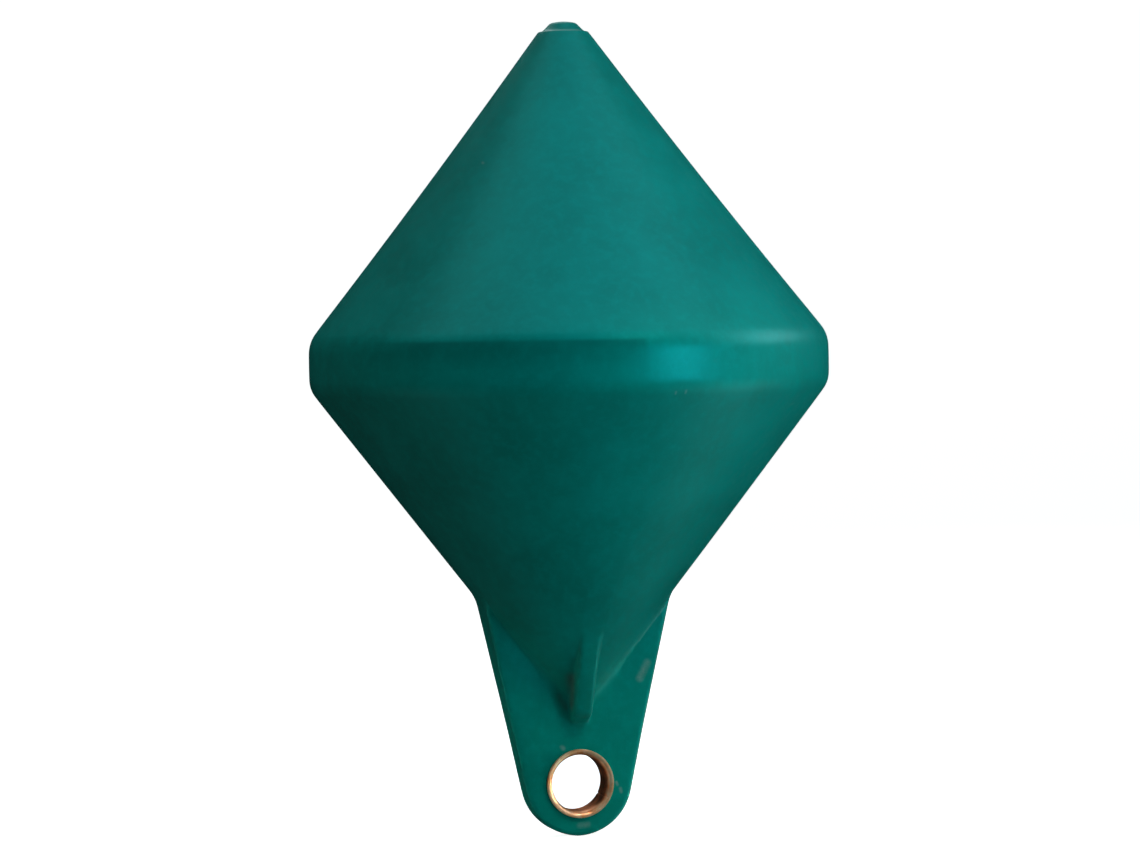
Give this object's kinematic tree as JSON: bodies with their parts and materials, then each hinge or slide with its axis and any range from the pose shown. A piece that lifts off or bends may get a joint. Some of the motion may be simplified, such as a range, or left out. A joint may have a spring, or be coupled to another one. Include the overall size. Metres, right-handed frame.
{
  "type": "biconical mooring buoy",
  "caption": "Sealed double-cone float with a belly band, a button dome on the tip, and a tapered mooring lug with a copper bush in its eye.",
  "frame": {"origin": "centre of the mooring eye, half way through the lug", "axes": "+Z from the eye up the float's axis to the tip, Y through the eye, X across the lug's face"},
  "size_m": [0.4, 0.4, 0.6266],
  "materials": {
    "float": "blue-green rotationally moulded polyethylene, softly mottled, faint scuffs",
    "bush": "copper, satin lips, dull brown bore"
  },
  "bodies": {
    "root": {"float_body": "float", "eye_bush": "bush"}
  },
  "joints": []
}
